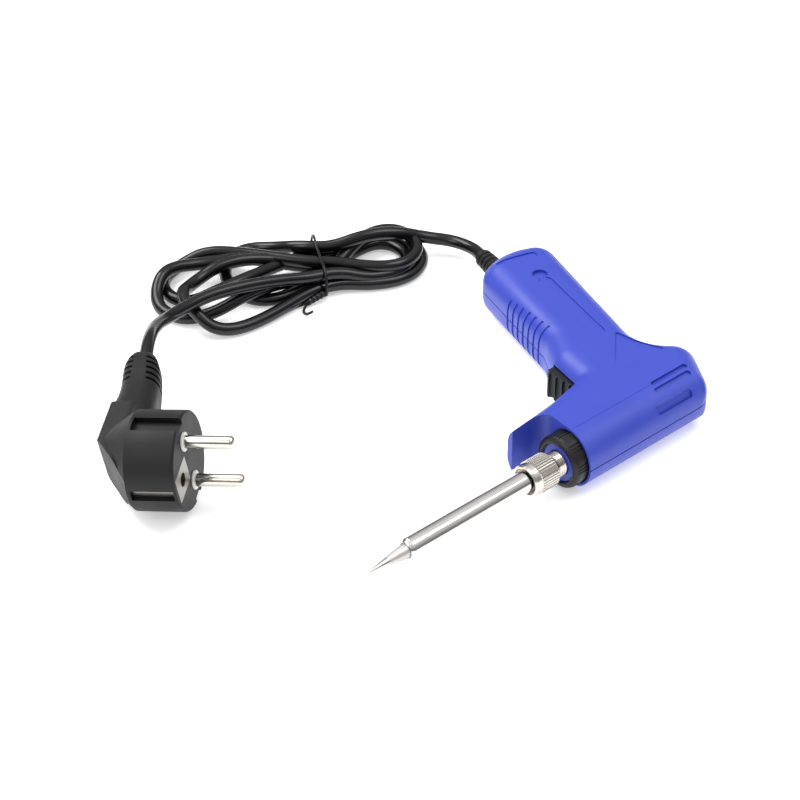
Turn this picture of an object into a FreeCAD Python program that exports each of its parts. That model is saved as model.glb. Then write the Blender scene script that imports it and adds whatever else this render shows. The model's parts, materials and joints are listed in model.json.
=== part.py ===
"""Pistol-grip soldering iron lying on its side, with its mains lead and plug.

Shapes are drawn in the barrel frame: +X runs along the barrel to the tip, the grip
hangs towards -Y, z = 0 is the parting plane of the two housing shells, and x = 0 is
the rear face of the collar ring. AXIS_AT then moves each one into the row frame,
whose origin lies on the ground under the middle of the iron. All sizes are in mm.
"""
import FreeCAD, Part
import os
from math import asin, cos, degrees, hypot, pi, radians, sin, sqrt, tan

V = FreeCAD.Vector
X_AXIS, Y_AXIS, Z_AXIS = V(1, 0, 0), V(0, 1, 0), V(0, 0, 1)

# ---- housing ------------------------------------------------------------------
HALF = 11.8                # half the thickness of the closed housing
EDGE_R = 9.0               # rounding of its long edges
WALL = 2.2
BARREL_R = 11.7            # round side of the barrel
BARREL_END = 30.0          # the blank runs past the hood and is cut back
HOOD_TIP_X = 14.2
HOOD_IN_Y = -16.3
SPIGOT_R, SPIGOT_TIP = 7.4, 6.6
GRIP_DIR = V(-0.29, -0.957, 0)
GRIP_ACROSS = V(0.957, -0.29, 0)
GAP = 0.03                 # running gap between the two shells

# ---- nose stack ---------------------------------------------------------------
COLLAR_R, COLLAR_BORE, COLLAR_X0, COLLAR_X1 = 10.4, 7.48, 0.0, 7.6
STUB_R, STUB_PITCH = 4.9, 1.0
NUT_R, NUT_X0, NUT_X1 = 6.6, 12.0, 23.6
SLEEVE_R, SLEEVE_BORE, SLEEVE_X0, SLEEVE_X1 = 4.2, 3.6, 17.4, 81.6
TIP_X = 98.8
HEATER_R = 1.95

# ---- trigger ------------------------------------------------------------------
TRIGGER_TRAVEL = 3.0
SLOT_HALF = 6.2
TRIGGER_Y0, TRIGGER_Y1 = -38.2, -24.4
TRIGGER_FACE = -24.4

# ---- lead and plug ------------------------------------------------------------
CABLE_D = 5.2
RELIEF_DIR = V(-0.34, -0.93, -0.14).normalize()
RELIEF_ROOT = V(-63.4, -99.0, 0)
RELIEF_LENGTH = 24.0

AXIS_AT = V(-7.9, 47.8, HALF)   # the barrel axis at x = 0, in the row frame


# ---- drawing helpers ----------------------------------------------------------
def corner_data(points):
    """For each rounded corner: the corner, its radius, unit edges in and out."""
    rows = []
    for i, (x, y, r) in enumerate(points):
        before, after = points[i - 1], points[(i + 1) % len(points)]
        into = V(x - before[0], y - before[1], 0).normalize()
        out = V(after[0] - x, after[1] - y, 0).normalize()
        rows.append((V(x, y, 0), r, into, out))
    return rows


def rounded_wire(points, z=0.0):
    """Closed wire through (x, y, corner radius) points, at height z."""
    stops, arcs = [], []
    for corner, r, into, out in corner_data(points):
        turn = into.getAngle(out)
        if r == 0:
            stops.append((corner, corner))
            arcs.append(None)
            continue
        back = r * tan(turn / 2)
        bisector = (out - into).normalize()
        middle = corner + bisector * (r / cos(turn / 2) - r)
        stops.append((corner - into * back, corner + out * back))
        arcs.append(middle)
    edges = []
    lift = V(0, 0, z)
    for i, (start, end) in enumerate(stops):
        if arcs[i] is not None:
            edges.append(Part.Arc(start + lift, arcs[i] + lift, end + lift).toShape())
        following = stops[(i + 1) % len(stops)][0]
        if (following - end).Length > 1e-6:
            edges.append(Part.LineSegment(end + lift, following + lift).toShape())
    return Part.Wire(edges)


def prism(points, z0, z1):
    return Part.Face(rounded_wire(points, z0)).extrude(V(0, 0, z1 - z0))


def inset(points, t):
    """The same anticlockwise outline, moved inwards by t."""
    moved = []
    for corner, r, into, out in corner_data(points):
        left_in, left_out = V(-into.y, into.x, 0), V(-out.y, out.x, 0)
        bisector = (left_in + left_out).normalize()
        shifted = corner + bisector * (t / bisector.dot(left_in))
        convex = into.cross(out).z > 0
        radius = max(r - t, 0.3) if convex else r + t
        moved.append((shifted.x, shifted.y, radius))
    return moved


def cylinder(radius, start, end):
    return Part.makeCylinder(radius, (end - start).Length, start, end - start)


def along_x(radius, x0, x1):
    return cylinder(radius, V(x0, 0, 0), V(x1, 0, 0))


def turned(profile):
    """Solid of revolution about the barrel axis from (x, radius) points."""
    points = [V(x, r, 0) for x, r in profile]
    return Part.Face(Part.makePolygon(points + points[:1])).revolve(V(), X_AXIS, 360)


def box(x0, x1, y0, y1, z0, z1):
    return Part.makeBox(x1 - x0, y1 - y0, z1 - z0, V(x0, y0, z0))


def joined(shapes):
    first, rest = shapes[0], shapes[1:]
    return first.fuse(rest).removeSplitter() if rest else first


def grouped(shapes):
    return Part.makeCompound(shapes)


def grip_point(along, across, z=0.0):
    """Point of the grip: along the grip to the butt, and across it to the front."""
    return GRIP_DIR * along + GRIP_ACROSS * across + V(0, 0, z)


# ---- housing ------------------------------------------------------------------
# Plan of the closed housing, anticlockwise, before the nose is cut back.
HOUSING_PLAN = [
    (BARREL_END, BARREL_R, 0),
    (-61.5, BARREL_R, 9.6),
    (-75.2, -10.5, 9.6),
    (-61.6, -24.4, 15),
    (-85.2, -98.2, 9.6),
    (-67.0, -106.2, 26),
    (-51.2, -102.0, 9.6),
    (-36.2, -50.6, 12),
    (-28.6, -38.6, 12),
    (-25.7, -24.6, 1.2),
    (-8.0, -21.0, 60),
    (BARREL_END, -17.0, 0),
]


def housing_blank(t):
    """The closed housing as one solid, with its skin moved inwards by t."""
    solid = prism(inset(HOUSING_PLAN, t), t - HALF, HALF - t)
    front = BARREL_END - t - 0.01
    rims = []
    for edge in solid.Edges:
        level = edge.BoundBox.ZMax - edge.BoundBox.ZMin < 1e-6
        if level and edge.BoundBox.XMin < front:
            rims.append(edge)
    solid = solid.makeFillet(EDGE_R - t, rims)
    side = box(-90, BARREL_END + 1, 0, 20, -20, 20)
    return solid.cut(side.cut(along_x(BARREL_R - t, -92, BARREL_END + 2)))


def nose_cut():
    """Everything in front of the barrel's end and inside the hood."""
    plan = [(-0.6, HOOD_IN_Y, 6), (60, HOOD_IN_Y, 0), (60, 24, 0), (3.0, 24, 0)]
    return prism(plan, -30, 30)


def grip_slot(along, across0, across1, thick):
    """Thin slab square to the grip, for one finger groove."""
    corners = [grip_point(along, across0), grip_point(along, across1)]
    corners += [grip_point(along + thick, across1), grip_point(along + thick, across0)]
    return Part.Face(Part.makePolygon(corners + corners[:1])).extrude(V(0, 0, 40)).translated(V(0, 0, -20))


PANEL_PLAN = [(-60.3, -80.6, 2.5), (-64.6, -76.2, 2.5), (-54.0, -35.0, 3.0), (-46.6, -33.4, 3.0)]
REAR_PANEL_PLAN = [(-41.4, -18.8, 4.0), (-44.0, -10.0, 3.0), (-62.5, -12.8, 1.5), (-56.5, -33.0, 1.0)]
BUTT_PANEL_PLAN = [(-55.5, -99.0, 1.2), (-56.8, -94.6, 1.2), (-70.5, -89.4, 1.5), (-75.0, -93.0, 2.0)]
VENTS = [((-42.5, 0.2), (-59.0, 0.2)), ((-40.8, 3.6), (-57.4, 3.6)), ((-36.2, 9.0), (-52.6, 9.0))]
FINGER_GROOVES = [62.4 + 4.2 * i for i in range(7)]


def ordered(points):
    """The points taken anticlockwise."""
    area = 0.0
    for i, (x, y, _) in enumerate(points):
        area += points[i - 1][0] * y - x * points[i - 1][1]
    return points if area > 0 else points[::-1]


def slot_plan(a, b, r):
    """Round-ended slot of half width r from a to b, as a rounded plan."""
    along = V(b[0] - a[0], b[1] - a[1], 0).normalize()
    side = V(-along.y, along.x, 0)
    ends = [V(a[0], a[1], 0) - along * r, V(b[0], b[1], 0) + along * r]
    corners = [ends[0] - side * r, ends[1] - side * r, ends[1] + side * r, ends[0] + side * r]
    return ordered([(p.x, p.y, r * 0.95) for p in corners])


def panel(points, depth):
    """Inset panel: the skin sunk by depth inside a plan outline, on the upper side."""
    return prism(ordered(points), 0.5, 20).cut(housing_blank(depth))


SCREW_AT = V(-63.2, -80.4, 0)
SPRING_SEAT_X0, SPRING_SEAT_X1 = -43.0, -41.5
TRIGGER_MID_Y = (TRIGGER_Y0 + TRIGGER_Y1) / 2
BOARD_POSTS = [V(-27.5, 0, 0), V(-56.5, 0, 0)]
BOARD_Z0, BOARD_Z1 = -5.2, -3.6
CLAMP_AT = RELIEF_ROOT - RELIEF_DIR * 8.0
CLAMP_SCREWS = [CLAMP_AT + GRIP_ACROSS * s for s in (-6.0, 6.0)]


def post(at, radius, z0, z1):
    return cylinder(radius, V(at.x, at.y, z0), V(at.x, at.y, z1))


def inner_frame():
    """Bosses, posts and the spring seat moulded into the shells."""
    floor = WALL - HALF - 1.0
    pieces = [post(SCREW_AT, 4.4, -HALF + 1, HALF - 1)]
    pieces += [post(at, 2.6, floor, BOARD_Z0 - GAP) for at in BOARD_POSTS]
    pieces += [post(at, 2.5, floor, -GAP) for at in CLAMP_SCREWS]
    pieces.append(box(SPRING_SEAT_X0, SPRING_SEAT_X1, TRIGGER_Y0, TRIGGER_Y1, -10.5, 10.5))
    return joined(pieces).common(housing_blank(1.0))


def housing():
    """Both shells as one hollow solid, before they are parted."""
    outer = housing_blank(0).cut(nose_cut())
    outer = outer.cut(box(HOOD_TIP_X, 60, -40, 0, -20, 20))
    cavity = housing_blank(WALL).cut(box(-5.5, 60, -40, 40, -20, 20))
    solid = outer.cut(cavity).fuse([inner_frame(), along_x(SPIGOT_R, -6, SPIGOT_TIP)])
    cuts = [along_x(5.1, -7, 9), along_x(7.5, -4.2, -1.6)]
    cuts.append(along_x(10.8, -0.35, 6).cut(along_x(SPIGOT_R, -1, 6)))
    cuts.append(box(-34, -18, TRIGGER_Y0 - 0.4, TRIGGER_Y1 + 0.3, -SLOT_HALF, SLOT_HALF))
    cuts.append(cylinder(2.3, V(-44, TRIGGER_MID_Y, 0), V(-40, TRIGGER_MID_Y, 0)))
    cuts.append(cylinder(3.95, RELIEF_ROOT - RELIEF_DIR * 2, RELIEF_ROOT + RELIEF_DIR * 20))
    cuts.append(post(SCREW_AT, 2.7, -20, -4.4))
    cuts.append(post(SCREW_AT, 1.6, -20, 0))
    cuts.append(post(SCREW_AT, 1.2, -1, 8))
    cuts += [post(at, 0.9, -9, 3) for at in BOARD_POSTS + CLAMP_SCREWS]
    return solid.cut(cuts)


def surface_cuts():
    """Grooves and inset panels in the outside of the closed housing."""
    seam = box(-95, 20, -110, 20, -0.22, 0.22).cut(housing_blank(0.45))
    grooves = [seam]
    for i, along in enumerate(FINGER_GROOVES):
        reach = -21.4 - 0.5 * (6 - i)
        slab = grip_slot(along, reach, 0, 1.5)
        grooves.append(slab.cut(housing_blank(0.45)))
    grooves.append(post(SCREW_AT, 3.1, 0.5, 20).cut(housing_blank(1.2)))
    grooves += [panel(points, 0.5) for points in (PANEL_PLAN, REAR_PANEL_PLAN, BUTT_PANEL_PLAN)]
    grooves += [panel(slot_plan(a, b, 1.2), 0.9) for a, b in VENTS]
    return grooves


def wire_notches():
    """Notches in the ribs where the wires cross, and the mouth for the strain relief."""
    notches = [bent_tube(path, 1.05) for path in (LIVE_WIRE, NEUTRAL_WIRE, EARTH_WIRE, SWITCH_WIRE)]
    return notches + [strain_relief()]


def shells():
    solid = housing().cut(surface_cuts() + wire_notches())
    upper = solid.common(box(-100, 40, -120, 30, GAP / 2, 20))
    lower = solid.common(box(-100, 40, -120, 30, -20, -GAP / 2))
    return upper, lower


# ---- nose stack ---------------------------------------------------------------
def collar_ring():
    """Black screwed collar: rounded front lip and groups of three fine grooves."""
    ring = turned([
        (COLLAR_X0, COLLAR_BORE), (COLLAR_X0, COLLAR_R - 0.3), (COLLAR_X0 + 0.3, COLLAR_R),
        (COLLAR_X1 - 1.7, COLLAR_R), (COLLAR_X1 - 0.9, COLLAR_R - 0.3), (COLLAR_X1 - 0.3, COLLAR_R - 0.9),
        (COLLAR_X1, COLLAR_R - 1.7), (COLLAR_X1, COLLAR_BORE + 0.5), (COLLAR_X1 - 0.6, COLLAR_BORE),
    ])
    cuts = []
    for group in range(8):
        for line in (-1, 0, 1):
            angle = radians(45 * group + 7 * line + 10)
            at = V(COLLAR_X0 - 1, COLLAR_R * cos(angle), COLLAR_R * sin(angle))
            cuts.append(cylinder(0.42, at, at + V(COLLAR_X1 + 2, 0, 0)))
    return ring.cut(cuts)


def threaded_stub():
    """Plated bush that carries the heater: flange, thread and bore."""
    profile = [(-8.0, 3.75), (-8.0, STUB_R), (-4.1, STUB_R), (-4.1, 7.3), (-1.7, 7.3), (-1.7, STUB_R)]
    x = 7.4
    profile.append((x, STUB_R))
    while x < 15.6:
        profile += [(x + 0.45 * STUB_PITCH, STUB_R - 0.45), (x + 0.9 * STUB_PITCH, STUB_R)]
        x += STUB_PITCH
        profile.append((x, STUB_R))
    profile += [(x + 0.6, STUB_R - 0.6), (x + 0.6, 3.75)]
    return turned(profile)


def knurled_nut():
    """Nut over the sleeve's flange: straight knurl behind, plain lip in front."""
    body = turned([
        (NUT_X0, STUB_R + 0.08), (NUT_X0, NUT_R - 0.5), (NUT_X0 + 0.5, NUT_R),
        (NUT_X1 - 3.2, NUT_R), (NUT_X1 - 3.0, NUT_R - 0.35), (NUT_X1 - 0.6, NUT_R - 0.35),
        (NUT_X1, NUT_R - 0.9), (NUT_X1, 5.3), (NUT_X1 - 2.6, 5.3), (NUT_X1 - 2.6, SLEEVE_R + 0.15),
        (19.5, SLEEVE_R + 0.15), (19.5, 5.4), (17.0, 5.4), (17.0, STUB_R + 0.08),
    ])
    cuts = []
    for i in range(40):
        angle = 2 * pi * i / 40
        at = V(NUT_X0 - 1, (NUT_R + 0.05) * cos(angle), (NUT_R + 0.05) * sin(angle))
        cuts.append(cylinder(0.37, at, at + V(NUT_X1 - 3.1 - NUT_X0 + 1, 0, 0)))
    return body.cut(cuts)


def heater_sleeve():
    """Polished tube: clamped flange at the rear, rolled lip at the front."""
    end = SLEEVE_X1
    return turned([
        (SLEEVE_X0, SLEEVE_BORE), (SLEEVE_X0, 5.2), (19.3, 5.2), (19.3, SLEEVE_R - 0.25),
        (24.2, SLEEVE_R - 0.25), (24.2, SLEEVE_R),
        (end - 1.5, SLEEVE_R), (end - 1.2, SLEEVE_R - 0.12), (end - 0.3, SLEEVE_R - 0.75),
        (end, SLEEVE_R - 1.0), (end, 3.0), (end - 0.8, 3.0), (end - 1.8, SLEEVE_BORE),
    ])


def soldering_tip():
    """Hollow conical tip that slides over the heater, with its shoulder in the sleeve."""
    outside = [
        (57.0, 2.15), (57.0, 3.2), (76.0, 3.2), (76.0, 3.45), (78.6, 3.45), (78.6, 2.9),
        (82.5, 2.75), (84.5, 2.5), (87.0, 2.12), (90.0, 1.66), (TIP_X - 0.5, 0.42),
        (TIP_X - 0.12, 0.28), (TIP_X, 0.0), (77.2, 0.0), (75.8, 2.15),
    ]
    return turned(outside)


def ceramic_heater():
    return turned([(-10, 0), (-10, HEATER_R), (73.6, HEATER_R), (74.2, HEATER_R - 0.6), (74.2, 0)])


def heater_holder():
    """Insulating bush that centres the heater in the threaded stub."""
    return turned([
        (-13.0, HEATER_R + 0.05), (-13.0, 4.7), (-10.6, 4.7), (-10.6, 3.7),
        (2.0, 3.7), (2.0, HEATER_R + 0.05),
    ])


# ---- inside the handle --------------------------------------------------------
def bent_tube(points, radius, report=""):
    """Tube along straight runs joined by the largest tangent arcs they allow."""
    edges, cursor, radii = [], points[0], []
    for i in range(1, len(points) - 1):
        into, out = points[i] - points[i - 1], points[i + 1] - points[i]
        shorter = min(into.Length, out.Length)
        turn = into.getAngle(out)
        into.normalize()
        out.normalize()
        back = 0.45 * shorter
        arc_radius = back / tan(turn / 2)
        radii.append(arc_radius)
        start, end = points[i] - into * back, points[i] + out * back
        middle = points[i] + (out - into).normalize() * (arc_radius / cos(turn / 2) - arc_radius)
        edges.append(Part.LineSegment(cursor, start).toShape())
        edges.append(Part.Arc(start, middle, end).toShape())
        cursor = end
    edges.append(Part.LineSegment(cursor, points[-1]).toShape())
    path = Part.Wire(edges)
    first = points[1] - points[0]
    ring = Part.Wire(Part.Circle(points[0], first, radius).toShape())
    tube = path.makePipeShell([ring], True, False)
    if report:
        listed = " ".join("%.0f" % r for r in radii)
        ratio = tube.Volume / (pi * radius ** 2 * path.Length)
        print("%s: length %.1f, volume ratio %.3f, radii %s" % (report, path.Length, ratio, listed))
    return tube


def circuit_board():
    board = box(-60, -23, -7, 7, BOARD_Z0, BOARD_Z1)
    return board.cut([post(at, 1.2, -6, -3) for at in BOARD_POSTS])


def terminal_block():
    body = box(-41.5, -31.5, -6.2, 6.2, BOARD_Z1, 4.2)
    holes = [post(V(-36.5, y, 0), 1.7, 1.0, 5) for y in (-3.4, 3.4)]
    holes += [cylinder(0.95, V(-42, y, -0.6), V(-31, y, -0.6)) for y in (-3.4, 3.4)]
    return body.cut(holes)


def cross_screw(at, head_r, head_z0, head_z1, shank_r, tip_z):
    head = post(at, head_r, head_z0, head_z1)
    slot = 0.45 * (head_z1 - head_z0)
    reach = head_r * 0.62
    along = box(at.x - reach, at.x + reach, at.y - 0.25, at.y + 0.25, head_z1 - slot, head_z1 + 1)
    across = box(at.x - 0.25, at.x + 0.25, at.y - reach, at.y + reach, head_z1 - slot, head_z1 + 1)
    return head.fuse(post(at, shank_r, tip_z, head_z0 + 0.2)).cut([along, across])


def rectifier_diode():
    """Diode that halves the heating power, with both leads bent to the board."""
    body = cylinder(1.7, V(-54.0, 3.6, -1.4), V(-48.0, 3.6, -1.4))
    leads = []
    for side in (-1, 1):
        knee = V(-51.0 + side * 4.6, 3.6, -1.4)
        leads.append(cylinder(0.4, V(-51.0 + side * 2.9, 3.6, -1.4), knee))
        leads.append(cylinder(0.4, knee + V(0, 0, 0.4), V(knee.x, knee.y, BOARD_Z1)))
    return body.fuse(leads)


SWITCH_X0, SWITCH_X1 = -54.0, -46.5


def micro_switch():
    body = box(SWITCH_X0, SWITCH_X1, -41.5, -22.1, -3.2, 3.2)
    holes = [post(V(SWITCH_X0 + 3.7, y, 0), 1.3, -4, 4) for y in (-38.8, -24.8)]
    holes.append(cylinder(1.35, V(SWITCH_X1 - 4.6, TRIGGER_MID_Y, 0), V(SWITCH_X1 + 1, TRIGGER_MID_Y, 0)))
    return body.cut(holes)


def switch_lugs():
    """Three flat terminals on the back of the switch."""
    lugs = []
    for y in (-38.6, -31.8, -25.0):
        lug = box(SWITCH_X0 - 4.0, SWITCH_X0, y - 1.4, y + 1.4, -0.3, 0.3)
        lugs.append(lug.cut(post(V(SWITCH_X0 - 2.4, y, 0), 0.7, -1, 1)))
    return grouped(lugs)


def switch_plunger():
    return cylinder(1.2, V(SWITCH_X1 - 1.4, TRIGGER_MID_Y, 0), V(-43.3, TRIGGER_MID_Y, 0))


def trigger():
    """Ridged boost button with its stop flange and the stem that works the switch."""
    depth = 1.5
    pitch = (TRIGGER_Y1 - TRIGGER_Y0) / 4
    body = box(-33.4, TRIGGER_FACE, TRIGGER_Y0, TRIGGER_Y1, -5.6, 5.6)
    body = body.makeFillet(0.8, [e for e in body.Edges if e.BoundBox.XMin > TRIGGER_FACE - 0.1])
    cuts = []
    for i in range(5):
        y = TRIGGER_Y0 + pitch * i
        at = V(TRIGGER_FACE + 0.1, y, -8)
        cuts.append(cylinder(depth, at, at + V(0, 0, 16)))
    flange = box(-35.2, -33.4, TRIGGER_Y0 - 0.8, TRIGGER_Y1 + 0.6, -7.0, 7.0)
    stem = cylinder(1.9, V(-43.3, TRIGGER_MID_Y, 0), V(-35.0, TRIGGER_MID_Y, 0))
    return body.cut(cuts).fuse([flange, stem]).removeSplitter()


def trigger_spring():
    """Compression spring round the trigger's stem."""
    wire, mean, gap = 0.28, 2.75, 0.1
    length = 41.5 - 35.2 - 2 * (wire + gap)
    helix = Part.makeHelix(length / 5, length, mean)
    ring = Part.Wire(Part.Circle(V(mean, 0, 0), Y_AXIS, wire).toShape())
    coil = Part.Wire(helix).makePipeShell([ring], True, True)
    coil.rotate(V(), Y_AXIS, 90)
    return coil.translated(V(SPRING_SEAT_X1 + wire + gap, TRIGGER_MID_Y, 0))


TAIL_END = RELIEF_ROOT - RELIEF_DIR * 12.0


def cable_tail():
    return cylinder(CABLE_D / 2, TAIL_END, RELIEF_ROOT + RELIEF_DIR * RELIEF_LENGTH)


def cord_clamp():
    """Bar screwed down over the cable inside the butt."""
    bar = Part.makeBox(16, 5, 5.4, V(-8, -2.5, 0))
    bar.rotate(V(), Z_AXIS, degrees(asin(GRIP_ACROSS.y)))
    bar.translate(V(CLAMP_AT.x, CLAMP_AT.y, 0))
    holes = [post(at, 1.3, 0, 10) for at in CLAMP_SCREWS]
    return bar.cut(holes + [cylinder(CABLE_D / 2 + 0.03, TAIL_END, RELIEF_ROOT)])


def about_relief(profile):
    """Solid of revolution about the lead's axis in the butt, from (along, radius)."""
    side = RELIEF_DIR.cross(Z_AXIS).normalize()
    points = [RELIEF_ROOT + RELIEF_DIR * u + side * r for u, r in profile]
    return Part.Face(Part.makePolygon(points + points[:1])).revolve(RELIEF_ROOT, RELIEF_DIR, 360)


def strain_relief():
    """Tapered rubber relief with bend rings outside the butt."""
    bore = CABLE_D / 2 + 0.03
    profile = [(-1.0, bore), (-1.0, 5.2), (1.6, 5.2), (1.6, 3.85), (10.4, 3.85)]
    along, radius = 10.4, 4.15
    for ring in range(4):
        profile += [(along, radius - 0.2), (along + 0.3, radius), (along + 1.9, radius), (along + 2.2, radius - 0.2)]
        profile += [(along + 2.2, radius - 0.85), (along + 3.3, radius - 0.85)]
        along += 3.3
        radius -= 0.14
    profile += [(RELIEF_LENGTH, radius - 0.5), (RELIEF_LENGTH, bore)]
    return about_relief(profile)


TAIL_SIDE = V(0.94, -0.34, 0)
LIVE_WIRE = [
    TAIL_END + TAIL_SIDE * 1.2, V(-55.6, -76, 2.5), V(-57.6, -62, 3.0), V(-60.4, -48, 1.5), V(-58.2, -39.4, 0.9),
]
NEUTRAL_WIRE = [
    TAIL_END - TAIL_SIDE * 1.2, V(-56.8, -74, -2.0), V(-52.0, -58, -6.0), V(-49.0, -40, -6.5),
    V(-51.5, -20, -5.6), V(-50.0, -11, -2.6), V(-43.8, -3.4, -0.6), V(-41.4, -3.4, -0.6),
]
EARTH_WIRE = [
    TAIL_END + V(0, 0, 1.7), V(-53.0, -74, 5.0), V(-52.0, -56, 7.2), V(-50.5, -34, 7.2),
    V(-44.0, -12, 7.2), V(-26.0, 0, 7.2), V(-13.6, 0, 6.9), V(-8.05, 0, 4.4),
]
SWITCH_WIRE = [V(-58.2, -25.8, 0.9), V(-60.6, -18, 2.0), V(-58.0, -7, 3.4), V(-50.0, 1.2, 1.6), V(-41.4, 3.4, -0.6)]
HEATER_LEADS = [
    [V(-31.6, side * 3.4, -0.6), V(-24.0, side * 3.0, -0.5), V(-16.0, side * 1.4, 0.0), V(-10.02, side * 1.0, 0)]
    for side in (-1, 1)
]


def screws():
    housing = cross_screw(SCREW_AT, 2.5, 4.4, 6.2, 1.2, -7.8)
    housing.rotate(SCREW_AT, X_AXIS, 180)
    board = [cross_screw(at, 1.9, BOARD_Z1, -2.4, 0.9, -8.8) for at in BOARD_POSTS]
    clamp = [cross_screw(at, 2.1, 5.4, 6.8, 0.9, -8.4) for at in CLAMP_SCREWS]
    terminal = [cross_screw(V(-36.5, y, 0), 1.65, 2.2, 3.6, 1.1, 0.5) for y in (-3.4, 3.4)]
    return housing, grouped(board), grouped(clamp), grouped(terminal)


# ---- mains plug, drawn about the centre of its face with the pins along +Y ----
PLUG_R = 18.3
BLOCK_DEPTH = 18.5
PIN_R = 2.4
PIN_X = 9.5
PIN_LENGTH = 19.0
EARTH_Z = 9.5
PLUG_SIDE = V(-0.192, 0.026, -0.981)
PLUG_PINS = V(-0.584, 0.801, 0.132).normalize()
PLUG_UP = PLUG_SIDE.cross(PLUG_PINS).normalize()
PLUG_AT = V(104.2, -33.2, 21.0)
NECK_END_Z = -52.5
NECK_Y = {-12: -25.0, -22: -25.6, -34: -27.0, -47: -29.6, NECK_END_Z: -30.4}
NECK_SIZE = {-12: (20.0, 17.0), -22: (19.0, 16.4), -34: (14.6, 14.8), -47: (12.4, 13.4), NECK_END_Z: (9.6, 9.4)}


def on_plug(shape):
    """Carry a plug piece from its own frame to where the plug lies."""
    side = PLUG_PINS.cross(PLUG_UP)
    rows = [[getattr(axis, k) for axis in (side, PLUG_PINS, PLUG_UP, PLUG_AT)] for k in "xyz"]
    turn = FreeCAD.Placement(FreeCAD.Matrix(*rows[0], *rows[1], *rows[2], 0, 0, 0, 1))
    moved = shape.copy()
    moved.Placement = turn.multiply(moved.Placement)
    return moved


def from_plug(x, y, z):
    return PLUG_AT + PLUG_PINS.cross(PLUG_UP) * x + PLUG_PINS * y + PLUG_UP * z


def neck_section(z):
    """Rounded rectangle of the plug's neck at one height."""
    width, depth = NECK_SIZE[z]
    hx, hy, mid = width / 2, depth / 2, NECK_Y[z]
    corners = [(-hx, mid - hy), (hx, mid - hy), (hx, mid + hy), (-hx, mid + hy)]
    return rounded_wire([(x, y, 0.38 * min(width, depth)) for x, y in corners], z)


def plug_blank():
    front = cylinder(PLUG_R, V(0, -BLOCK_DEPTH, 0), V())
    front = front.makeFillet(1.0, [e for e in front.Edges if e.BoundBox.YMin > -0.1])
    rim = Part.Wire(Part.Circle(V(0, -BLOCK_DEPTH, 0), Y_AXIS, PLUG_R).toShape())
    back = Part.Wire(Part.Circle(V(0, -31.4, -1.5), Y_AXIS, 9.4).toShape())
    cap = Part.makeLoft([rim, back], True, True)
    spine = prism([(-10.2, -33.0, 2), (10.2, -33.0, 2), (11.0, -21, 4), (-11.0, -21, 4)], -19.6, 14)
    slope = [V(-25, -33.2, -1.0), V(-25, -17.9, 18.0), V(-25, -17.9, 30), V(-25, -50, 30), V(-25, -50, -1.0)]
    beyond = Part.Face(Part.makePolygon(slope + slope[:1])).extrude(V(50, 0, 0))
    rear = cap.fuse(spine).cut(beyond)
    neck = Part.makeLoft([neck_section(z) for z in NECK_Y], True, False)
    return joined([front, rear, neck])


EARTH_SOCKET = cylinder(2.55, V(0, -16.2, EARTH_Z), V(0, 1, EARTH_Z))


def earth_contact():
    """One strip: two side contacts, the bridge between them and the socket for the earth pin."""
    edge = PLUG_R - 2.6
    sides = [box(-2.2, 2.2, -17.0, -1.2, s * edge - 0.35, s * edge + 0.35) for s in (-1, 1)]
    bridge = box(-2.2, 2.2, -17.7, -17.0, -edge - 0.35, edge + 0.35)
    plate = box(-5.4, 5.4, -0.7, 0.05, EARTH_Z - 6.4, EARTH_Z + 6.6)
    tube = cylinder(3.2, V(0, -17.1, EARTH_Z), V(0, -0.6, EARTH_Z))
    return joined(sides + [bridge, plate, tube]).cut(EARTH_SOCKET)


def pin_insulators():
    rings = []
    for x in (-PIN_X, PIN_X):
        ring = cylinder(3.5, V(x, -3.0, 0), V(x, 0.6, 0))
        rings.append(ring.cut(cylinder(PIN_R + 0.02, V(x, -4, 0), V(x, 1, 0))))
    return grouped(rings)


def plug_pins():
    pins = []
    for x in (-PIN_X, PIN_X):
        pin = cylinder(PIN_R, V(x, -12, 0), V(x, PIN_LENGTH, 0))
        pin = pin.makeFillet(1.6, [e for e in pin.Edges if e.BoundBox.YMin > PIN_LENGTH - 0.1])
        line = cylinder(PIN_R + 1, V(x, 15.1, 0), V(x, 15.4, 0))
        pins.append(pin.cut(line.cut(cylinder(PIN_R - 0.12, V(x, 15, 0), V(x, 16, 0)))))
    return grouped(pins)


def plug_body():
    cuts = []
    for side in (-1, 1):
        cuts.append(box(side * PLUG_R - 2.6, side * PLUG_R + 2.6, -17.4, 1.0, -3.2, 3.2))
        cuts.append(box(-2.3, 2.3, -17.2, -1.0, side * PLUG_R - 2.3, side * PLUG_R + 2.3))
    pitch = 3.15
    for row in range(5):
        z = -36.2 - pitch * row
        mid = -27.4 - 0.2 * row * pitch
        for side in (-1, 1):
            y0 = mid + side * (3.0 - 0.15 * row)
            cuts.append(box(-12, 12, min(y0, y0 + side * 9), max(y0, y0 + side * 9), z - 0.65, z + 0.65))
    cuts.append(cylinder(CABLE_D / 2 + 0.03, V(0, NECK_Y[NECK_END_Z], NECK_END_Z - 2), V(0, -29.6, -46.5)))
    return plug_blank().cut(cuts + [earth_contact(), EARTH_SOCKET, pin_insulators(), plug_pins()])


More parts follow.
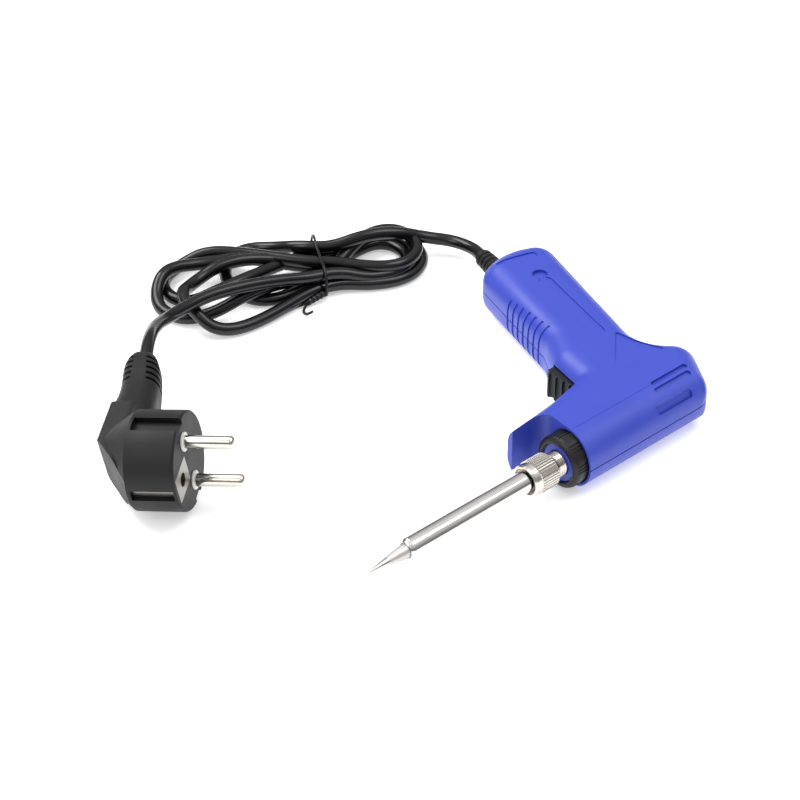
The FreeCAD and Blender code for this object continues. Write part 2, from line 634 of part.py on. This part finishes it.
# ---- cord and its hank, in the frame of the whole part ------------------------
RELIEF_END = AXIS_AT + RELIEF_ROOT + RELIEF_DIR * RELIEF_LENGTH
NECK_END = from_plug(0, NECK_Y[NECK_END_Z], NECK_END_Z)
ROUTE_FROM_RELIEF = [
    RELIEF_END, RELIEF_END + RELIEF_DIR * 9.3, V(-80.9, -92.6, 6.6), V(-73.9, -100.8, 7.2),
]
ROUTE_TO_PLUG = [
    V(39.3, -119.0, 14.2), V(48.8, -117.0, 15.0), V(60.3, -109.8, 20.0), V(72.3, -97.6, 25.2), NECK_END,
]
HANK_PLAN = [
    (-76.7, -111.8, 16), (-67.7, -95.8, 16), (-47.7, -84.8, 18), (-16.2, -103.3, 14), (0.3, -98.8, 16), (24.3, -96.8, 18),
    (40.3, -110.8, 14), (41.8, -136.8, 16), (24.3, -156.8, 18), (-21.7, -161.8, 22), (-35.7, -135.8, 22), (-69.7, -139.8, 22),
]
HANK_HEIGHT = 10.4
RIGHT_EYE = [(-65.7, -110.8, 8), (-55.7, -97.8, 6), (-45.7, -101.8, 6), (-51.7, -119.8, 8), (-61.7, -121.8, 6)]
LEFT_EYE = [(-7.7, -117.8, 6), (0.3, -110.8, 5), (10.3, -117.8, 6), (0.3, -137.8, 7), (-15.7, -146.8, 6)]
TIE_AT = V(-28.7, -116.5, 0)
TIE_ACROSS = V(0.5, 0.866, 0).normalize()
TIE_ALONG = TIE_ACROSS.cross(Z_AXIS)
TIE_HALF = 16.0
TIE_WIRE = 0.6


def cord_tubes():
    first = bent_tube(ROUTE_FROM_RELIEF, CABLE_D / 2, "cord from relief")
    second = bent_tube(ROUTE_TO_PLUG, CABLE_D / 2, "cord to plug")
    return first, second


def tie_path():
    """Closed path of the wire tie round the waist of the hank."""
    corners = [(-TIE_HALF - 0.9, 0.75), (TIE_HALF + 0.9, 0.75), (TIE_HALF + 0.9, 11.4), (-TIE_HALF - 0.9, 11.4)]
    flat = rounded_wire([(x, y, 3.0) for x, y in corners], 0)
    rows = [[getattr(axis, k) for axis in (TIE_ACROSS, Z_AXIS, TIE_ALONG, TIE_AT)] for k in "xyz"]
    flat.Placement = FreeCAD.Placement(FreeCAD.Matrix(*rows[0], *rows[1], *rows[2], 0, 0, 0, 1))
    return flat


def cord_tie():
    """Wire tie: the loop, the twist and its two ends."""
    start = TIE_AT + Z_AXIS * 0.75
    ring = Part.Wire(Part.Circle(start, TIE_ACROSS, TIE_WIRE).toShape())
    loop = tie_path().makePipeShell([ring], True, False)
    knot = TIE_AT + TIE_ACROSS * (TIE_HALF + 1.3) + Z_AXIS * 4.0
    outward = (TIE_ACROSS * 0.75 + TIE_ALONG * 0.66 - Z_AXIS * 0.16).normalize()
    twist = cylinder(1.1, knot, knot + outward * 8.5)
    ends = []
    for bend, length in ((0.35, 7.0), (-0.15, 9.5)):
        aim = (outward + TIE_ACROSS * bend - Z_AXIS * 0.02).normalize()
        ends.append(cylinder(TIE_WIRE, knot + outward * 8, knot + outward * 8 + aim * length))
    return joined([loop, twist] + ends)


def cord_hank(tubes):
    """Outer shape of the tied hank, with its two eyes and the lead that leaves on top."""
    plan = prism(ordered(HANK_PLAN), 0, HANK_HEIGHT)
    eyes = [prism(ordered(eye), -1, 20) for eye in (RIGHT_EYE, LEFT_EYE)]
    top = bent_tube([V(-9.7, -106.8, 8.5), V(10.3, -116.3, 11.5), V(26.3, -119.8, 13.8), V(40.8, -118.8, 14.3)], CABLE_D / 2)
    waist = []
    for side in (-1, 1):
        slab = Part.makeBox(8, 20, 30, V(-4, TIE_HALF if side > 0 else -TIE_HALF - 20, -2))
        slab.rotate(V(), Z_AXIS, degrees(asin(-TIE_ALONG.y)) * -1)
        waist.append(slab.translated(TIE_AT))
    under = Part.makeBox(3, 60, 1.6, V(-1.5, -30, -0.01))
    under.rotate(V(), Z_AXIS, degrees(asin(-TIE_ALONG.y)) * -1)
    over = Part.makeBox(3, 60, 9, V(-1.5, -30, HANK_HEIGHT))
    over.rotate(V(), Z_AXIS, degrees(asin(-TIE_ALONG.y)) * -1)
    cuts = eyes + waist + [under.translated(TIE_AT), over.translated(TIE_AT)] + list(tubes)
    return plan.fuse(top).cut(cuts)


# The box of everything but the cord and its pieces is centred on the origin.
TO_ORIGIN = V(0, -1.286, 0)


# ---- whole part ---------------------------------------------------------------
def handle_pieces():
    upper, lower = shells()
    housing_screw, board_screws, clamp_screws, terminal_screws = screws()
    return {
        "upper_shell": upper,
        "lower_shell": lower,
        "housing_screw": housing_screw,
        "collar_ring": collar_ring(),
        "threaded_stub": threaded_stub(),
        "knurled_nut": knurled_nut(),
        "heater_sleeve": heater_sleeve(),
        "soldering_tip": soldering_tip(),
        "ceramic_heater": ceramic_heater(),
        "heater_holder": heater_holder(),
        "heater_leads": grouped([bent_tube(lead, 0.45) for lead in HEATER_LEADS]),
        "terminal_block": terminal_block().cut(terminal_screws),
        "terminal_screws": terminal_screws,
        "circuit_board": circuit_board(),
        "board_screws": board_screws,
        "rectifier_diode": rectifier_diode(),
        "micro_switch": micro_switch(),
        "switch_lugs": switch_lugs(),
        "switch_plunger": switch_plunger(),
        "trigger": trigger(),
        "trigger_spring": trigger_spring(),
        "wire_live": bent_tube(LIVE_WIRE, 0.75),
        "wire_neutral": bent_tube(NEUTRAL_WIRE, 0.75),
        "wire_earth": bent_tube(EARTH_WIRE, 0.55),
        "wire_switched": bent_tube(SWITCH_WIRE, 0.75),
        "cable_tail": cable_tail(),
        "cord_clamp": cord_clamp(),
        "clamp_screws": clamp_screws,
        "strain_relief": strain_relief(),
    }


def plug_pieces():
    return {
        "plug_body": plug_body(),
        "plug_pins": plug_pins(),
        "pin_insulators": pin_insulators(),
        "earth_contact": earth_contact(),
    }


def main():
    os.makedirs("parts", exist_ok=True)
    tubes = cord_tubes()
    pieces = {name: shape.translated(AXIS_AT) for name, shape in handle_pieces().items()}
    pieces.update({name: on_plug(shape) for name, shape in plug_pieces().items()})
    pieces["cord_relief_to_hank"] = tubes[0]
    pieces["cord_tie"] = cord_tie()
    pieces["cord_hank"] = cord_hank(tubes).cut(pieces["cord_tie"])
    pieces["cord_hank_to_plug"] = tubes[1]
    for name, shape in pieces.items():
        shape = shape.translated(TO_ORIGIN)
        shape.exportStep("parts/" + name + ".step")
        b = shape.BoundBox
        row = (name, shape.isValid(), len(shape.Solids), shape.Volume, b.XMin, b.XMax, b.YMin, b.YMax, b.ZMin, b.ZMax)
        print("%-20s %s %d %9.1f  x %7.2f %7.2f  y %8.2f %7.2f  z %6.2f %6.2f" % row)


main()
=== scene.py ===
import json
from math import cos, hypot, pi, radians, sin, sqrt

import bpy
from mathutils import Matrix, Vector


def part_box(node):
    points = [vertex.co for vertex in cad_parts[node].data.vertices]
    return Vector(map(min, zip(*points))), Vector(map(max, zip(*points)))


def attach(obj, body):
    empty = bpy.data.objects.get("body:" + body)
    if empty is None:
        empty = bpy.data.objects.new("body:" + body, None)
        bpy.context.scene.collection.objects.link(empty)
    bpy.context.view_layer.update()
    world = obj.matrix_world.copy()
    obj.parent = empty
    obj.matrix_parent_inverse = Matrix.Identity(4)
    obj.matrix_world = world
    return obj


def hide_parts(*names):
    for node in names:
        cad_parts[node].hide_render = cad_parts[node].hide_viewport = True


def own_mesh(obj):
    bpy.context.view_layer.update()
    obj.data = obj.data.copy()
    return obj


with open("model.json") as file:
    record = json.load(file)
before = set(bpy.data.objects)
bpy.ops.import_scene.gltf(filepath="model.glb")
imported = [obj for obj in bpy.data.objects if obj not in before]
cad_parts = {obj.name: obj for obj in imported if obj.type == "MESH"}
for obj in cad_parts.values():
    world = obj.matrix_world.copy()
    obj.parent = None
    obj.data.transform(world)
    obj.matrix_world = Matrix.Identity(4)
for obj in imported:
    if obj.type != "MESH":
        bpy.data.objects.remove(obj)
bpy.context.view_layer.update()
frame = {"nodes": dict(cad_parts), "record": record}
MM = 0.001

# ---- camera ----
AIM = Vector((4.3, -32.586, 0.0)) * MM
TOWARDS_CAMERA = Vector((0.5445, 0.5983, 0.5878)).normalized()
CAMERA_DISTANCE = 1.0
camera_data = bpy.data.cameras.new("camera")
camera_data.sensor_width = 36.0
camera_data.lens = 117.9
camera_data.clip_start = 0.05
camera = bpy.data.objects.new("camera", camera_data)
bpy.context.collection.objects.link(camera)
camera.location = AIM + TOWARDS_CAMERA * CAMERA_DISTANCE
camera.rotation_euler = (-TOWARDS_CAMERA).to_track_quat("-Z", "Y").to_euler()
bpy.context.scene.camera = camera


# ---- cord, in mm ----
CORD_D = 5.2
CORD_R = CORD_D / 2
FLOOR_GAP = 0.02
TIE = Vector((-28.7, -116.5, 0.0))                  # the waist of the hank
TO_ORIGIN = Vector((0.0, -1.286, 0.0))              # added last; it centres the iron's box on the origin
RELAX_ROUNDS = 3
ALONG = Vector((0.866, -0.5, 0.0)).normalized()     # from the small lobe to the large one
ACROSS = Vector((0.5, 0.866, 0.0)).normalized()
RELIEF_DIR = Vector((-0.34, -0.93, -0.14)).normalized()
RELIEF_ROOT = Vector((-7.9, 47.8, 11.8)) + Vector((-63.4, -99.0, 0.0))
RELIEF_END = RELIEF_ROOT + RELIEF_DIR * 24.0
PLUG_AT = Vector((104.2, -33.2, 21.0))
PLUG_PINS = Vector((-0.584, 0.801, 0.132)).normalized()
PLUG_UP = Vector((-0.192, 0.026, -0.981)).cross(PLUG_PINS).normalized()
PLUG_SIDE = PLUG_PINS.cross(PLUG_UP)


def from_plug(x, y, z):
    return PLUG_AT + PLUG_SIDE * x + PLUG_PINS * y + PLUG_UP * z


NECK_END = from_plug(0, -30.4, -52.5)
FROM_RELIEF = [
    RELIEF_END - RELIEF_DIR * 3.0, RELIEF_END, RELIEF_END + RELIEF_DIR * 9.3,
    Vector((-80.9, -92.6, 6.6)), Vector((-73.9, -100.8, 7.2)),
]
TO_PLUG = [
    Vector((39.3, -119.0, 14.2)), Vector((48.8, -117.0, 15.0)), Vector((60.3, -109.8, 20.0)),
    Vector((72.3, -97.6, 25.2)), NECK_END, NECK_END + from_plug(0, 0.9, 5.0) - PLUG_AT,
]
# each lobe: middle along and across, half length, half width, degrees swept either side of its far end
LOBES = {
    "first": (18.0, -4.0, 22.0, 25.0, 92), "second": (39.5, -2.0, 27.0, 20.5, 96),
    "third": (44.0, 8.0, 26.5, 20.5, 96), "fourth": (35.5, 17.0, 25.0, 23.5, 92),
    "outer": (-21.5, -4.5, 25.0, 22.5, 88), "inner": (-21.0, -4.0, 21.5, 19.2, 88),
    "riding": (-20.6, -4.0, 23.5, 20.0, 88), "small": (-19.5, -3.5, 20.0, 18.6, 88),
}
# the lobes in the order of the cord, large and small by turns, and the end where each starts (across)
RUNS = [
    ("first", -1), ("small", 1), ("third", -1), ("riding", -1),
    ("second", -1), ("outer", -1), ("fourth", 1), ("inner", -1),
]
LARGE_POINTS, SMALL_POINTS = 10, 9
TIE_HALF = 6                                        # half the length of a pass through the tie
# each pass through the tie: across, height, slant
SLOTS = [
    (-9.0, 9.0, -2.0), (7.8, 3.7, 1.0), (-2.6, 3.7, -0.8), (2.6, 3.7, 2.0), (1.5, 8.3, -1.5),
    (-13.0, 3.7, 2.0), (13.0, 3.7, 1.5), (-7.8, 3.7, 1.5), (11.8, 8.7, 1.0),
]
# how high the cord's middle may be lifted in each section
HIGHEST = {
    "first": 2.7, "second": 8.0, "small": 7.9, "outer": 2.7, "inner": 5.0, "third": 9.0, "fourth": 9.5,
    "riding": 8.2, "out": 14.5, "in": 13.0,
}
LAYING = ["first", "second", "small", "outer", "inner", "third", "fourth", "riding", "out", "in"]
SAMPLES = 8                                         # steps along the spline at each control point
LAY_ROUNDS, SAG_ROUNDS = 2, 3
LIFT_MARGIN = 1.05
CLEAR_OF_TIE = 13.0                                 # strands nearer to the tie carry no other strand
SAG = 1.8                                           # how far a point may hang below its neighbours


def from_tie(u, v, z):
    return TIE + ALONG * u + ACROSS * v + Vector((0, 0, z))


def lobe(shape, side, first_end, count):
    """Control points round one lobe, from its first_end (-1 or 1, across) round the far end."""
    u, v, half_u, half_v, sweep = shape
    points = []
    for i in range(count):
        turn = radians(sweep) * (2 * i / (count - 1) - 1) * -first_end
        points.append(from_tie(u + side * half_u * cos(turn), v + half_v * sin(turn), CORD_R + FLOOR_GAP))
    return points


def hank_points():
    """Control points of the tied hank and the sections that they form, in the order of the cord."""
    points, sections = [], {}
    points += [Vector((-62.0, -106.6, 12.4)), Vector((-49.5, -111.0, 12.8))]
    sections["in"] = [0, 1]
    for i, (v, z, slant) in enumerate(SLOTS):
        heading = 1 if i % 2 == 0 else -1
        sections["slot%d" % i] = [len(points), len(points) + 1]
        points += [from_tie(end * TIE_HALF * heading, v + end * slant * heading, z) for end in (-1, 1)]
        if i < len(RUNS):
            name, first_end = RUNS[i]
            added = lobe(LOBES[name], heading, first_end, LARGE_POINTS if heading == 1 else SMALL_POINTS)
            sections[name] = list(range(len(points), len(points) + len(added)))
            points += added
    sections["out"] = list(range(len(points), len(points) + 3))
    points += [Vector((-6.7, -112.5, 11.0)), Vector((9.8, -117.8, 13.0)), Vector((26.0, -119.6, 14.2))]
    return points, sections


def tie_passes(sections):
    """Control points in the passes through the tie, which stay where they are."""
    return {i for name, members in sections.items() if name.startswith("slot") for i in members}


def relax(points, sections, rounds):
    """Ease the corners where the lobes leave the tie."""
    fixed = tie_passes(sections)
    for _ in range(rounds):
        before = [point.copy() for point in points]
        for i in range(1, len(points) - 1):
            if i not in fixed:
                eased = (before[i - 1] + before[i] * 2 + before[i + 1]) / 4
                points[i].x, points[i].y = eased.x, eased.y
    return points


def arc(points, i, t):
    """Point on the quadratic spline near control point i; t runs from 0 to 1."""
    before, after = (points[i - 1] + points[i]) / 2, (points[i] + points[i + 1]) / 2
    return before * (1 - t) ** 2 + points[i] * 2 * t * (1 - t) + after * t * t


def height_needed(here, placed):
    """Least height of the cord's middle at this place, to lie on the strands placed so far."""
    need = 0.0
    for x, y, z in placed:
        gap = hypot(here.x - x, here.y - y)
        if gap < CORD_D:
            need = max(need, z + sqrt(CORD_D ** 2 - gap ** 2))
    return need


def movers(i, t):
    """Control points that move the spline at t of control point i."""
    if t <= 0.3:
        return [i - 1, i]
    return [i] if t < 0.7 else [i, i + 1]


def settle(points, sections, order):
    """Lay the sections one on another: a later one passes over an earlier one in a low hump."""
    placed = []
    fixed = tie_passes(sections)
    steps = [k / SAMPLES for k in range(SAMPLES + 1)]
    for name in order:
        members = [i for i in sections[name] if 0 < i < len(points) - 1]
        for _ in range(LAY_ROUNDS):
            for i in members:
                for t in steps:
                    here = arc(points, i, t)
                    lift = height_needed(here, placed) - here.z
                    if lift > 0:
                        for j in movers(i, t):
                            if j not in fixed and j in members:
                                points[j].z = min(points[j].z + lift * LIFT_MARGIN, HIGHEST[name])
        for i in members:
            for t in steps:
                here = arc(points, i, t)
                if abs((here - TIE).dot(ALONG)) > CLEAR_OF_TIE:
                    placed.append((here.x, here.y, here.z))
    for _ in range(SAG_ROUNDS):
        for i in range(1, len(points) - 1):
            if i not in fixed:
                low = (points[i - 1].z + points[i + 1].z) / 2 - SAG
                points[i].z = max(points[i].z, low)
    return points


hank, parts_of_hank = hank_points()
hank = settle(relax(hank, parts_of_hank, RELAX_ROUNDS), parts_of_hank, LAYING)
route = [point + TO_ORIGIN for point in FROM_RELIEF + hank + TO_PLUG]


def spline_object(name, points, radius, closed=False):
    """Round wire along a quadratic spline; its thickness is in the points, so its box is true."""
    curve = bpy.data.curves.new(name, "CURVE")
    curve.dimensions = "3D"
    spline = curve.splines.new("NURBS")
    spline.points.add(len(points) - 1)
    for target, point in zip(spline.points, points):
        target.co = (point.x * MM, point.y * MM, point.z * MM, 1.0)
        target.radius = radius * MM
    spline.order_u = 3
    spline.use_endpoint_u = not closed
    spline.use_cyclic_u = closed
    curve.resolution_u = 8
    curve.bevel_depth = 1.0
    curve.bevel_resolution = 6
    obj = bpy.data.objects.new(name, curve)
    bpy.context.collection.objects.link(obj)
    return obj


cord = spline_object("mains_cord", route, CORD_R)
cord.data.use_fill_caps = True
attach(cord, "handle")
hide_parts("cord_relief_to_hank", "cord_hank", "cord_hank_to_plug")

# ---- wire tie round the waist of the hank ----
TIE_WIRE = 0.55
TIE_LOOP = [
    (-16.9, 3.6), (-16.3, 8.4), (-13.6, 12.0), (-10.2, 13.4), (-6.6, 12.4), (-2.4, 11.6),
    (2.4, 11.9), (7.0, 11.7), (11.4, 12.3), (14.8, 11.2), (16.7, 7.6), (17.0, 3.4),
    (15.8, 0.9), (8.0, 0.62), (0.0, 0.62), (-8.0, 0.62), (-15.4, 0.8),
]
TIE_TWIST_TURNS, TIE_TWIST_LENGTH, TIE_TWIST_R, TIE_TWIST_STEPS = 2.2, 8.0, 0.62, 14
TIE_TWIST_AT = (0.6, 17.7)                          # where the twist starts, along and across
TIE_TWIST_HIGH, TIE_TWIST_DROP = 3.6, 1.9
LONG_END = [(2.0, 0.4, 1.4), (5.0, 1.0, 0.9), (9.0, 0.2, 0.7), (12.5, -1.2, 1.2)]
SHORT_END = [(1.4, -0.8, 1.6), (3.4, -2.4, 1.2), (4.6, -4.6, 0.9), (3.4, -6.2, 1.0), (1.2, -6.0, 1.6)]


def tie_strand(phase, ends):
    """One wire of the twisted tail: the helix, then its free end, on the floor beside the hank."""
    heading = (ALONG * 0.954 + ACROSS * 0.3).normalized()
    sideways = heading.cross(Vector((0, 0, 1)))
    points = [from_tie(0.0, 16.4, 6.0 - 2.0 * cos(phase))]
    for i in range(TIE_TWIST_STEPS + 1):
        share = i / TIE_TWIST_STEPS
        angle = phase + 2 * pi * TIE_TWIST_TURNS * share
        middle = from_tie(*TIE_TWIST_AT, TIE_TWIST_HIGH - TIE_TWIST_DROP * share)
        middle = middle + heading * TIE_TWIST_LENGTH * share
        points.append(middle + (sideways * cos(angle) + Vector((0, 0, sin(angle)))) * TIE_TWIST_R)
    start = from_tie(*TIE_TWIST_AT, 0.0) + heading * TIE_TWIST_LENGTH
    points += [start + heading * u + sideways * v + Vector((0, 0, z)) for u, v, z in ends]
    return [point + TO_ORIGIN for point in points]


ties = [
    spline_object("tie_loop", [from_tie(0.0, v, z) + TO_ORIGIN for v, z in TIE_LOOP], TIE_WIRE, closed=True),
    spline_object("tie_strand_long", tie_strand(0.0, LONG_END), TIE_WIRE),
    spline_object("tie_strand_short", tie_strand(pi, SHORT_END), TIE_WIRE),
]
for tie in ties:
    tie.data.use_fill_caps = True
    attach(tie, "handle")
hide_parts("cord_tie")


# ---- materials ----
def shader_of(material):
    return material.node_tree.nodes["Principled BSDF"]


def surface(name, color, rough, metallic=0.0, grain=0.0, grain_size=0.4, wear=0.0, coat=0.0,
            brushed=None, spread=0.06, tint=0.06, specular=0.5):
    """Procedural finish: fine grain in the normal, cloudy roughness and colour, faint wear."""
    material = bpy.data.materials.new(name)
    material.use_nodes = True
    nodes, links = material.node_tree.nodes, material.node_tree.links
    shader = shader_of(material)
    shader.inputs["Metallic"].default_value = metallic
    shader.inputs["Specular IOR Level"].default_value = specular
    shader.inputs["Coat Weight"].default_value = coat
    shader.inputs["Coat Roughness"].default_value = 0.12
    where = nodes.new("ShaderNodeTexCoord")
    place = nodes.new("ShaderNodeMapping")
    links.new(where.outputs["Object"], place.inputs["Vector"])
    if brushed:
        place.inputs["Scale"].default_value = brushed
    fine = nodes.new("ShaderNodeTexNoise")
    fine.inputs["Scale"].default_value = 1.0 / (grain_size * MM)
    fine.inputs["Detail"].default_value = 4.0
    links.new(place.outputs["Vector"], fine.inputs["Vector"])
    cloud = nodes.new("ShaderNodeTexNoise")
    cloud.inputs["Scale"].default_value = 70.0
    cloud.inputs["Detail"].default_value = 6.0
    links.new(where.outputs["Object"], cloud.inputs["Vector"])
    bump = nodes.new("ShaderNodeBump")
    bump.inputs["Strength"].default_value = 1.0
    bump.inputs["Distance"].default_value = max(grain, 0.001) * MM
    links.new(fine.outputs["Fac"], bump.inputs["Height"])
    links.new(bump.outputs["Normal"], shader.inputs["Normal"])
    ramp = nodes.new("ShaderNodeMapRange")
    ramp.inputs["From Min"].default_value = 0.3
    ramp.inputs["From Max"].default_value = 0.7
    ramp.inputs["To Min"].default_value = max(rough - spread, 0.02)
    ramp.inputs["To Max"].default_value = min(rough + spread, 1.0)
    links.new(cloud.outputs["Fac"], ramp.inputs["Value"])
    links.new(ramp.outputs["Result"], shader.inputs["Roughness"])
    blend = nodes.new("ShaderNodeMix")
    blend.data_type = "RGBA"
    dark = [c * (1 - tint) for c in color]
    light = [min(c * (1 + tint) + 0.3 * wear, 1) for c in color]
    blend.inputs[6].default_value = (*dark, 1)
    blend.inputs[7].default_value = (*light, 1)
    links.new(cloud.outputs["Fac"], blend.inputs[0])
    links.new(blend.outputs[2], shader.inputs["Base Color"])
    return material


finish = {
    "blue_plastic": surface("blue moulded plastic", (0.036, 0.062, 0.46), 0.42, grain=0.012, grain_size=0.35),
    "black_plastic": surface(
        "black moulded plastic", (0.008, 0.008, 0.009), 0.34, specular=0.35, grain=0.01, grain_size=0.3),
    "black_rubber": surface(
        "black soft vinyl", (0.009, 0.0085, 0.0095), 0.52, specular=0.28, grain=0.03, grain_size=0.4),
    "cable_sheath": surface(
        "cord sheath", (0.0035, 0.0033, 0.004), 0.22, specular=0.4, grain=0.006, grain_size=1.2, spread=0.08),
    "nickel": surface("nickel plating", (0.66, 0.62, 0.56), 0.17, 1.0, grain=0.002, grain_size=0.5),
    "bright_tube": surface(
        "bright tube", (0.72, 0.70, 0.68), 0.13, 1.0, grain=0.003, brushed=(0.06, 1, 1), grain_size=0.3),
    "tip_plating": surface("tip plating", (0.56, 0.54, 0.52), 0.3, 1.0, grain=0.004, grain_size=0.25),
    "steel": surface("zinc plated steel", (0.5, 0.5, 0.5), 0.35, 1.0, grain=0.004),
    "brass": surface("brass", (0.7, 0.5, 0.22), 0.3, 1.0, grain=0.003),
    "ceramic": surface("ceramic", (0.8, 0.79, 0.74), 0.6, grain=0.01),
    "board": surface("circuit board", (0.04, 0.17, 0.06), 0.4, grain=0.01),
    "white_plastic": surface("white plastic", (0.8, 0.8, 0.78), 0.4, grain=0.006),
    "brown_insulation": surface("brown insulation", (0.16, 0.05, 0.02), 0.35, grain=0.004),
    "blue_insulation": surface("blue insulation", (0.02, 0.07, 0.4), 0.35, grain=0.004),
    "green_insulation": surface("green insulation", (0.1, 0.35, 0.04), 0.35, grain=0.004),
}


def paint(obj, material):
    obj.data.materials.clear()
    obj.data.materials.append(material)


for subpart in frame["record"]["subparts"]:
    paint(frame["nodes"][subpart["node"]], finish[subpart["material_slot"]])
paint(cord, finish["cable_sheath"])
for tie in ties:
    paint(tie, finish["black_plastic"])

# painted shade darkens the knurl's grooves; the plug's earth strip is given a darker, rougher metal
KNURLS, KNURL_SOFTNESS, LIP = 40, 0.2, 3.1
BARREL_Y, BARREL_Z = 46.514, 11.8                   # the barrel's axis, from the origin
nut_finish = surface("knurled nickel", (0.66, 0.62, 0.56), 0.24, 1.0, grain=0.002, grain_size=0.5)
knurl = nut_finish.node_tree
nut_place = knurl.nodes.new("ShaderNodeTexCoord")
nut_split = knurl.nodes.new("ShaderNodeSeparateXYZ")
knurl.links.new(nut_place.outputs["Object"], nut_split.inputs["Vector"])


def knurl_math(operation, *values):
    node = knurl.nodes.new("ShaderNodeMath")
    node.operation = operation
    for slot, value in zip(node.inputs, values):
        if isinstance(value, (int, float)):
            slot.default_value = value
        else:
            knurl.links.new(value, slot)
    return node.outputs[0]


across_y = knurl_math("SUBTRACT", nut_split.outputs["Y"], BARREL_Y * MM)
across_z = knurl_math("SUBTRACT", nut_split.outputs["Z"], BARREL_Z * MM)
turn = knurl_math("MULTIPLY", knurl_math("ARCTAN2", across_z, across_y), float(KNURLS))
groove = knurl_math("SMOOTH_MAX", knurl_math("COSINE", turn), 0.0, KNURL_SOFTNESS)
behind_lip = knurl_math("LESS_THAN", nut_split.outputs["X"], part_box("knurled_nut")[1][0] - LIP * MM)
# painted shade: the grooves behind the lip are coloured near black, and the ridges a little lighter than the
# plating
painted_groove_shade = knurl_math("MULTIPLY", groove, behind_lip)
shade = knurl.nodes.new("ShaderNodeMix")
shade.data_type = "RGBA"
shade.inputs[6].default_value = (0.72, 0.68, 0.62, 1)
shade.inputs[7].default_value = (0.16, 0.15, 0.14, 1)
knurl.links.new(painted_groove_shade, shade.inputs[0])
knurl.links.new(shade.outputs[2], shader_of(nut_finish).inputs["Base Color"])
paint(frame["nodes"]["knurled_nut"], nut_finish)
earth_finish = surface("dull nickel strip", (0.3, 0.29, 0.27), 0.36, 1.0, grain=0.004, grain_size=0.4)
paint(frame["nodes"]["earth_contact"], earth_finish)

# the plated cone of the tip is brighter than its matt shank
TIP_BRIGHT_FROM, TIP_BLEND = 82.2, 0.4
tip = finish["tip_plating"].node_tree
tip_place = tip.nodes.new("ShaderNodeTexCoord")
tip_split = tip.nodes.new("ShaderNodeSeparateXYZ")
tip_ramp = tip.nodes.new("ShaderNodeMapRange")
tip_ramp.inputs["From Min"].default_value = (TIP_BRIGHT_FROM - TIP_BLEND) * MM
tip_ramp.inputs["From Max"].default_value = (TIP_BRIGHT_FROM + TIP_BLEND) * MM
tip_ramp.inputs["To Min"].default_value = 0.5
tip_ramp.inputs["To Max"].default_value = 0.2
tip.links.new(tip_place.outputs["Object"], tip_split.inputs["Vector"])
tip.links.new(tip_split.outputs["X"], tip_ramp.inputs["Value"])
tip.links.new(tip_ramp.outputs["Result"], shader_of(finish["tip_plating"]).inputs["Roughness"])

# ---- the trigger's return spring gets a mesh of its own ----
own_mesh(frame["nodes"]["trigger_spring"])

# ---- floor, light ----
FLOOR_Z = -0.0002
bpy.ops.mesh.primitive_plane_add(size=8.0, location=(0, 0, FLOOR_Z))
floor = bpy.context.object
floor.name = "floor"
floor_finish = bpy.data.materials.new("floor")
floor_finish.use_nodes = True
floor_shader = shader_of(floor_finish)
floor_shader.inputs["Base Color"].default_value = (0.93, 0.93, 0.93, 1)
floor_shader.inputs["Roughness"].default_value = 0.9
# a little light of its own keeps the floor white and the shadows weak
floor_shader.inputs["Emission Color"].default_value = (1, 1, 1, 1)
floor_shader.inputs["Emission Strength"].default_value = 0.42
floor.data.materials.append(floor_finish)

world = bpy.data.worlds.new("studio")
world.use_nodes = True
sky = world.node_tree
direction = sky.nodes.new("ShaderNodeTexCoord")
split = sky.nodes.new("ShaderNodeSeparateXYZ")
dome = sky.nodes.new("ShaderNodeValToRGB")
dome.color_ramp.elements[0].position = 0.25
dome.color_ramp.elements[0].color = (0.22, 0.22, 0.23, 1)
dome.color_ramp.elements[1].position = 0.9
dome.color_ramp.elements[1].color = (1, 1, 1, 1)
sky.links.new(direction.outputs["Generated"], split.inputs["Vector"])
sky.links.new(split.outputs["Z"], dome.inputs["Fac"])
sky.links.new(dome.outputs["Color"], sky.nodes["Background"].inputs["Color"])
sky.nodes["Background"].inputs["Strength"].default_value = 1.0
bpy.context.scene.world = world
bpy.context.scene.view_settings.view_transform = "Standard"
# name, place and size in m, power in W
LAMPS = [
    ("key", (0.3, -1.0, 1.3), 0.9, 17.0),
    ("fill", (1.3, -0.2, 1.0), 0.7, 5.0),
    ("top", (-0.5, 0.5, 1.7), 1.0, 11.0),
]
for name, at, size, power in LAMPS:
    lamp = bpy.data.lights.new(name, "AREA")
    lamp.size = size
    lamp.energy = power
    lamp_object = bpy.data.objects.new(name, lamp)
    bpy.context.collection.objects.link(lamp_object)
    lamp_object.location = at
    lamp_object.rotation_euler = (AIM - Vector(at)).to_track_quat("-Z", "Y").to_euler()
